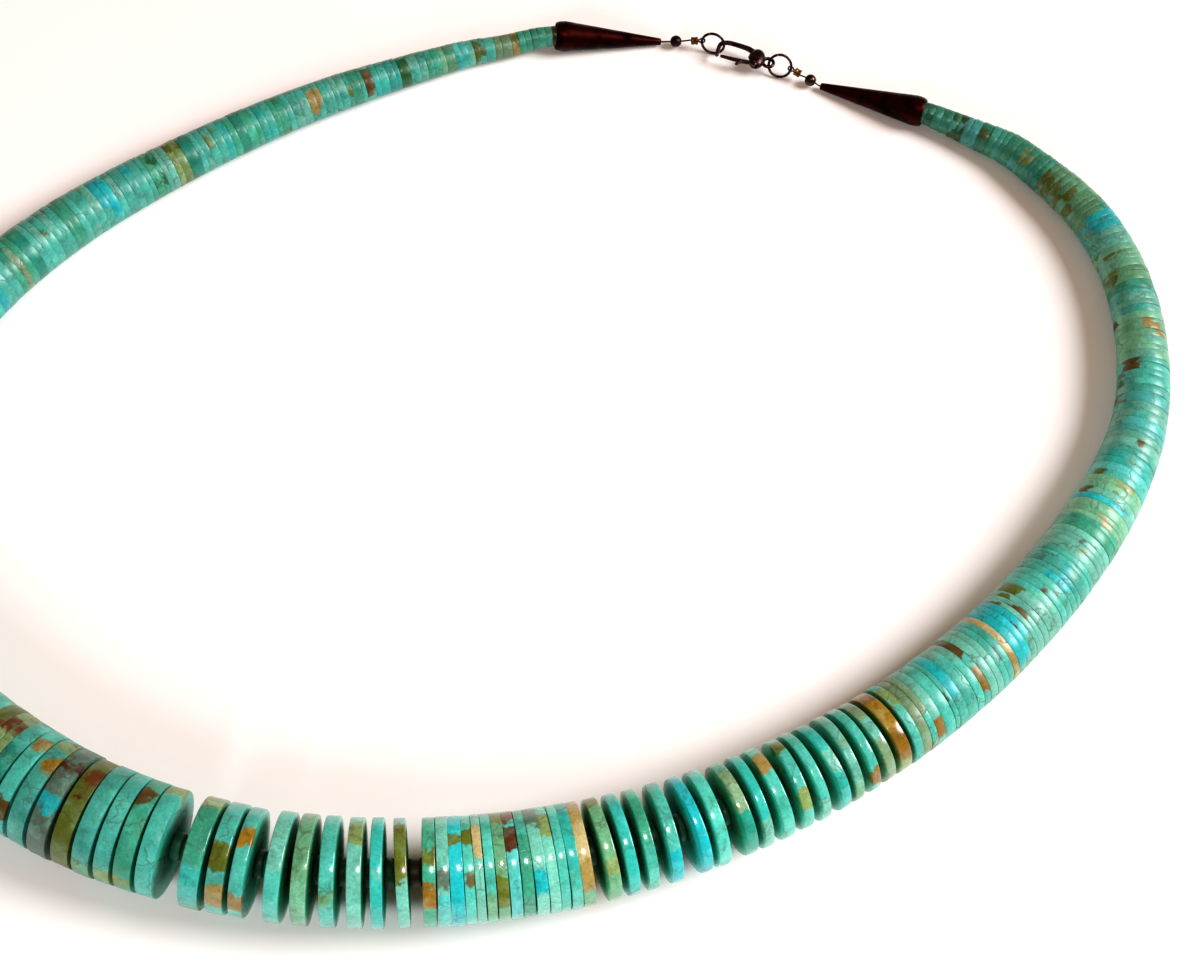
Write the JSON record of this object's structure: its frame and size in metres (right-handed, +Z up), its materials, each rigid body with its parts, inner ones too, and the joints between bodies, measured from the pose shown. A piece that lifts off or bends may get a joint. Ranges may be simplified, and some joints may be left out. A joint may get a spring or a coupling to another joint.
{
  "type": "beaded necklace",
  "caption": "Graduated disc bead necklace of turquoise, lying closed in a loop, with long dark end cones, jump rings and a lobster clasp whose sprung lever opens.",
  "frame": {"origin": "centre of the necklace's bounding box, on the table", "axes": "+Z up from the table, +X to the viewer's right along the loop's long side, +Y away from the viewer towards the clasp"},
  "size_m": [0.1708, 0.1365, 0.0125],
  "materials": {
    "turquoise_green": "polished green turquoise with olive matrix",
    "turquoise_blue": "polished blue turquoise",
    "olive_matrix": "polished turquoise, mostly olive matrix",
    "tan_matrix": "polished turquoise, mostly tan matrix",
    "spacer_stone": "dark teal spacer beads",
    "dark_copper": "oxidised dark reddish copper",
    "aged_brass": "aged brass",
    "gunmetal": "oxidised dark metal"
  },
  "bodies": {
    "necklace": {"disc_01": "turquoise_blue", "disc_02": "turquoise_green", "disc_03": "olive_matrix", "disc_04": "turquoise_blue", "disc_05": "turquoise_green", "disc_06": "tan_matrix", "disc_07": "turquoise_green", "disc_08": "turquoise_blue", "disc_09": "turquoise_green", "disc_10": "olive_matrix", "disc_11": "turquoise_blue", "disc_12": "turquoise_green", "disc_13": "tan_matrix", "disc_14": "turquoise_green", "disc_15": "turquoise_blue", "disc_16": "turquoise_green", "disc_17": "olive_matrix", "disc_18": "turquoise_blue", "disc_19": "turquoise_green", "disc_20": "tan_matrix", "disc_21": "turquoise_green", "disc_22": "turquoise_blue", "disc_23": "turquoise_green", "disc_24": "olive_matrix", "disc_25": "turquoise_blue", "disc_26": "turquoise_green", "disc_27": "tan_matrix", "disc_28": "turquoise_green", "disc_29": "turquoise_blue", "disc_30": "turquoise_green", "disc_31": "olive_matrix", "disc_32": "turquoise_blue", "disc_33": "turquoise_green", "disc_34": "tan_matrix", "disc_35": "turquoise_green", "disc_36": "turquoise_blue", "disc_37": "turquoise_green", "disc_38": "olive_matrix", "disc_39": "turquoise_blue", "left_string": "turquoise_green", "right_string": "turquoise_green", "core_cord": "spacer_stone", "left_cone": "dark_copper", "right_cone": "dark_copper", "left_crimp": "aged_brass", "right_crimp": "aged_brass", "left_end_bead": "gunmetal", "right_end_bead": "gunmetal", "left_jump_ring": "gunmetal", "right_jump_ring": "gunmetal", "left_wire": "gunmetal", "right_wire": "gunmetal", "clasp_body": "gunmetal", "clasp_pin": "gunmetal"},
    "lever": {"clasp_lever": "gunmetal"}
  },
  "joints": [
    {"name": "lever_pivot", "type": "hinge", "parent": "necklace", "child": "lever", "pos_m": [0.02682, 0.06448, 0.0018], "axis": [0, 0, -1], "range_deg": [0, 15], "stiffness_Nm_per_rad": 0.002}
  ]
}
